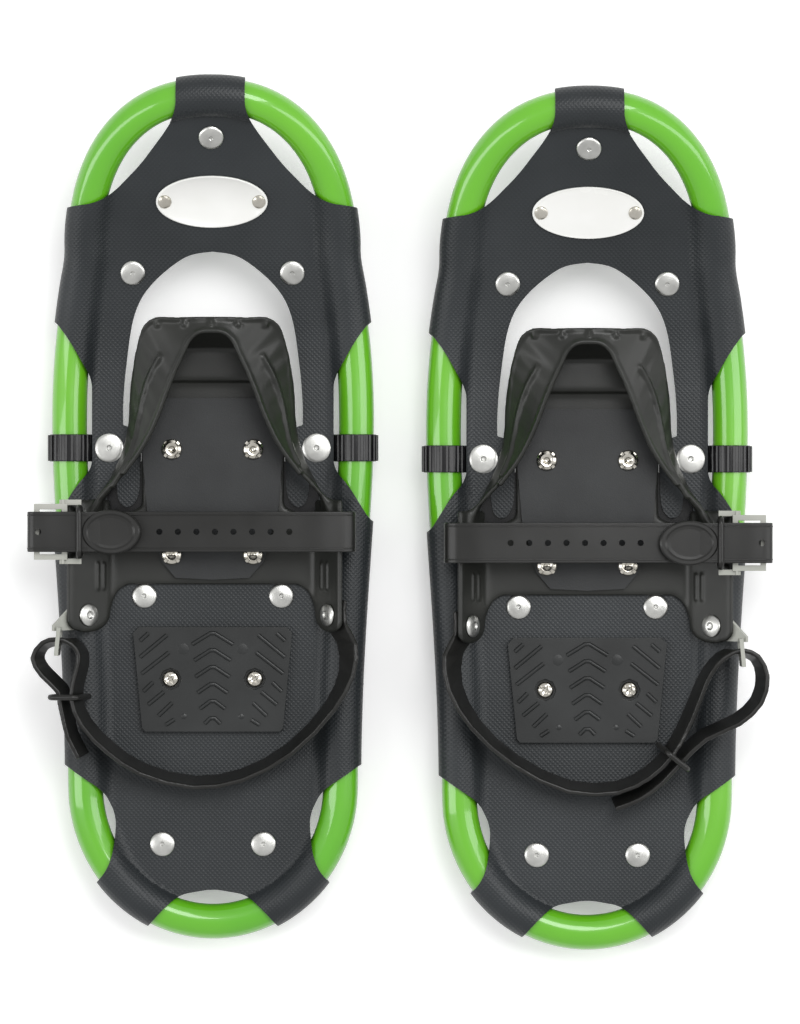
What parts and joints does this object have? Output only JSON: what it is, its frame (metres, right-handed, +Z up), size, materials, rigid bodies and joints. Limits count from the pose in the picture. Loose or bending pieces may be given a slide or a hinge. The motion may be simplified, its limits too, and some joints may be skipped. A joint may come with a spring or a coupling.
{
  "type": "snowshoes",
  "caption": "Pair of children's snowshoes: bent tube frames, fabric decks, hinged rubber bindings with straps, and toothed crampons.",
  "frame": {"origin": "on the ground, in the middle of the box round both shoes", "axes": "+X to the right shoe, +Y to the toes, +Z up"},
  "size_m": [0.401, 0.4713, 0.0775],
  "materials": {
    "lacquer": "glossy lime green lacquer over bent aluminium tube",
    "deck_fabric": "charcoal coated fabric, soft sheen, fine diagonal weave",
    "collar_plastic": "glossy black ribbed band",
    "harness_rubber": "satin black moulded rubber",
    "strap_rubber": "satin black strap rubber",
    "pad_plastic": "grained dark grey plastic",
    "buckle_grey": "warm light grey, slightly glossy",
    "rivet_aluminium": "turned aluminium",
    "bolt_steel": "bright plated steel",
    "crampon_steel": "dull steel sheet",
    "plate_white": "glossy white"
  },
  "bodies": {
    "frames": {"left_frame_tube": "lacquer", "left_deck": "deck_fabric", "left_pivot_strap_inner": "collar_plastic", "left_pivot_strap_outer": "collar_plastic", "left_pivot_rivet_inner": "rivet_aluminium", "left_pivot_rivet_outer": "rivet_aluminium", "left_toe_rivet": "rivet_aluminium", "left_mid_rivet_inner": "rivet_aluminium", "left_mid_rivet_outer": "rivet_aluminium", "left_tail_rivet_inner": "rivet_aluminium", "left_tail_rivet_outer": "rivet_aluminium", "left_name_plate": "plate_white", "left_heel_pad": "pad_plastic", "left_heel_crampon": "crampon_steel", "right_frame_tube": "lacquer", "right_deck": "deck_fabric", "right_pivot_strap_inner": "collar_plastic", "right_pivot_strap_outer": "collar_plastic", "right_pivot_rivet_inner": "rivet_aluminium", "right_pivot_rivet_outer": "rivet_aluminium", "right_toe_rivet": "rivet_aluminium", "right_mid_rivet_inner": "rivet_aluminium", "right_mid_rivet_outer": "rivet_aluminium", "right_tail_rivet_inner": "rivet_aluminium", "right_tail_rivet_outer": "rivet_aluminium", "right_name_plate": "plate_white", "right_heel_pad": "pad_plastic", "right_heel_crampon": "crampon_steel"},
    "left_binding": {"left_pivot_strap_middle": "collar_plastic", "left_harness": "harness_rubber", "left_foot_pad": "pad_plastic", "left_toe_crampon": "crampon_steel", "left_front_bolt_inner": "bolt_steel", "left_front_bolt_outer": "bolt_steel", "left_rear_bolt_inner": "bolt_steel", "left_rear_bolt_outer": "bolt_steel", "left_ear_rivet_inner": "rivet_aluminium", "left_ear_rivet_outer": "rivet_aluminium", "left_instep_strap": "strap_rubber", "left_instep_buckle": "buckle_grey", "left_heel_strap": "strap_rubber", "left_heel_buckle": "buckle_grey", "left_heel_keeper": "strap_rubber"},
    "left_instep_keeper": {"left_instep_keeper": "strap_rubber"},
    "right_binding": {"right_pivot_strap_middle": "collar_plastic", "right_harness": "harness_rubber", "right_foot_pad": "pad_plastic", "right_toe_crampon": "crampon_steel", "right_front_bolt_inner": "bolt_steel", "right_front_bolt_outer": "bolt_steel", "right_rear_bolt_inner": "bolt_steel", "right_rear_bolt_outer": "bolt_steel", "right_ear_rivet_inner": "rivet_aluminium", "right_ear_rivet_outer": "rivet_aluminium", "right_instep_strap": "strap_rubber", "right_instep_buckle": "buckle_grey", "right_heel_strap": "strap_rubber", "right_heel_buckle": "buckle_grey", "right_heel_keeper": "strap_rubber"},
    "right_instep_keeper": {"right_instep_keeper": "strap_rubber"}
  },
  "joints": [
    {"name": "left_binding_pivot", "type": "hinge", "parent": "frames", "child": "left_binding", "pos_m": [-0.1015, 0.03625, 0.02265], "axis": [-1, 0, 0], "range_deg": [0, 45], "stiffness_Nm_per_rad": 0.3, "springref_deg": -5.73},
    {"name": "left_instep_keeper_slide", "type": "slide", "parent": "left_binding", "child": "left_instep_keeper", "axis": [1, 0, 0], "range_m": [0, 0.006]},
    {"name": "right_binding_pivot", "type": "hinge", "parent": "frames", "child": "right_binding", "pos_m": [0.1015, 0.03025, 0.02265], "axis": [-1, 0, 0], "range_deg": [0, 45], "stiffness_Nm_per_rad": 0.3, "springref_deg": -5.73},
    {"name": "right_instep_keeper_slide", "type": "slide", "parent": "right_binding", "child": "right_instep_keeper", "axis": [-1, 0, 0], "range_m": [0, 0.006]}
  ]
}
